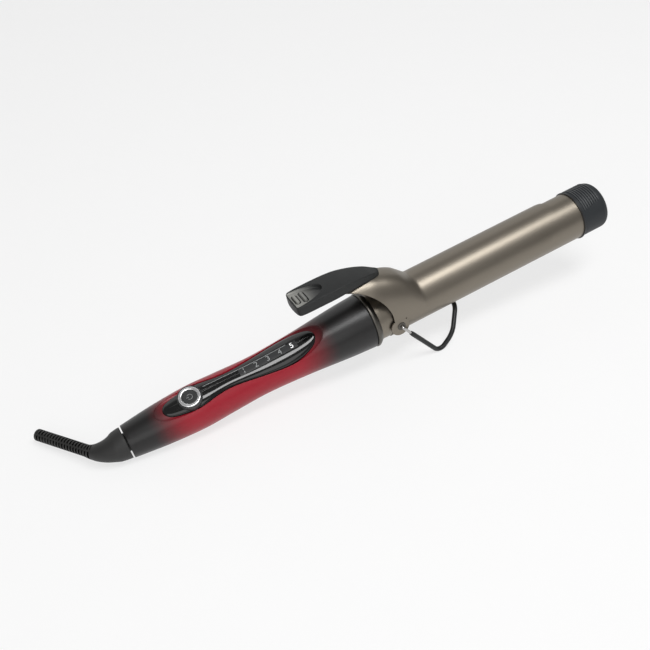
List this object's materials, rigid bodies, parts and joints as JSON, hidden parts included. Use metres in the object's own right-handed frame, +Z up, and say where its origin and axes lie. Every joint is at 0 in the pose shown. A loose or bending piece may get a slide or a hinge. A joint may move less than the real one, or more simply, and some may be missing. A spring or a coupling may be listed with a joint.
{
  "type": "curling iron",
  "caption": "Spring-clamp curling iron with a red and black handle, a bronze barrel, a thumb lever, a wire stand and a swivelling cord sleeve, resting on its stand.",
  "frame": {"origin": "centre of the bounding box's underside, on the table that the stand's feet and the handle's rear rim rest on", "axes": "+X from the cord end towards the tip, the barrel rises towards +X at the resting tilt; +Z up; the thumb lever is on top"},
  "size_m": [0.4, 0.0674, 0.0712],
  "materials": {
    "painted_shell": "satin red paint that fades to black at both ends",
    "gloss_black": "polished black",
    "smoked_lens": "smoked translucent strip",
    "dark_bezel": "dark satin",
    "chrome_ring": "polished",
    "black_plastic": "moulded",
    "tip_plastic": "heat-resistant, matt",
    "lever_plastic": "fine grained",
    "soft_black": "soft, matt",
    "bronze_metal": "satin bronze-taupe coating",
    "core_aluminium": "extruded",
    "heater_ceramic": "fired, matt",
    "contact_brass": "turned",
    "lead_sleeve": "insulating sleeve",
    "board_green": "glass-fibre board",
    "led_white": "clear",
    "screw_steel": "plated",
    "spring_steel": "hardened",
    "bright_steel": "bright drawn"
  },
  "bodies": {
    "iron": {"handle_upper_shell": "painted_shell", "handle_lower_shell": "painted_shell", "handle_screws": "screw_steel", "control_panel": "gloss_black", "indicator_lens": "smoked_lens", "button_bezel": "dark_bezel", "button_spring": "spring_steel", "control_board": "board_green", "board_screws": "screw_steel", "tact_switch": "black_plastic", "status_leds": "led_white", "brush_block": "black_plastic", "contact_brushes": "contact_brass", "power_leads": "lead_sleeve", "heater_core_upper": "core_aluminium", "heater_core_lower": "core_aluminium", "ceramic_heater": "heater_ceramic", "temperature_sensor": "heater_ceramic", "heater_leads": "lead_sleeve", "collar_ring": "bronze_metal", "barrel_holder": "black_plastic", "barrel_tube": "bronze_metal", "tip_insulator": "heater_ceramic", "tip_flange": "black_plastic", "cool_tip": "tip_plastic", "hinge_bracket": "bronze_metal", "hinge_rivets": "bright_steel"},
    "cord_swivel": {"swivel_core": "black_plastic", "contact_rings": "contact_brass", "swivel_boot": "soft_black"},
    "button": {"power_button": "black_plastic", "button_ring": "chrome_ring"},
    "clamp": {"clamp_plate": "bronze_metal", "thumb_lever": "lever_plastic", "clamp_spring": "spring_steel", "lever_screws": "screw_steel"},
    "stand": {"stand_wire": "bright_steel", "stand_sleeve": "soft_black"}
  },
  "joints": [
    {"name": "clamp_hinge", "type": "hinge", "parent": "iron", "child": "clamp", "pos_m": [0.03311, -0.01209, 0.0307], "axis": [0, -1, 0], "range_deg": [0, 16], "stiffness_Nm_per_rad": 0.3, "springref_deg": -45.84, "deforming": ["clamp_spring"]},
    {"name": "stand_hinge", "type": "hinge", "parent": "iron", "child": "stand", "pos_m": [0.03311, -0.01209, 0.0307], "axis": [0, 1, 0], "range_deg": [0, 95]},
    {"name": "button_press", "type": "slide", "parent": "iron", "child": "button", "axis": [0.1148, 0.3256, -0.9385], "range_m": [0, 0.0007], "stiffness_N_per_m": 1500, "springref_m": -0.0005, "deforming": ["button_spring"]},
    {"name": "cord_turn", "type": "hinge", "parent": "iron", "child": "cord_swivel", "pos_m": [-0.15013, -0.01209, 0.0108], "axis": [0.9926, 0, 0.1214], "continuous": true}
  ]
}
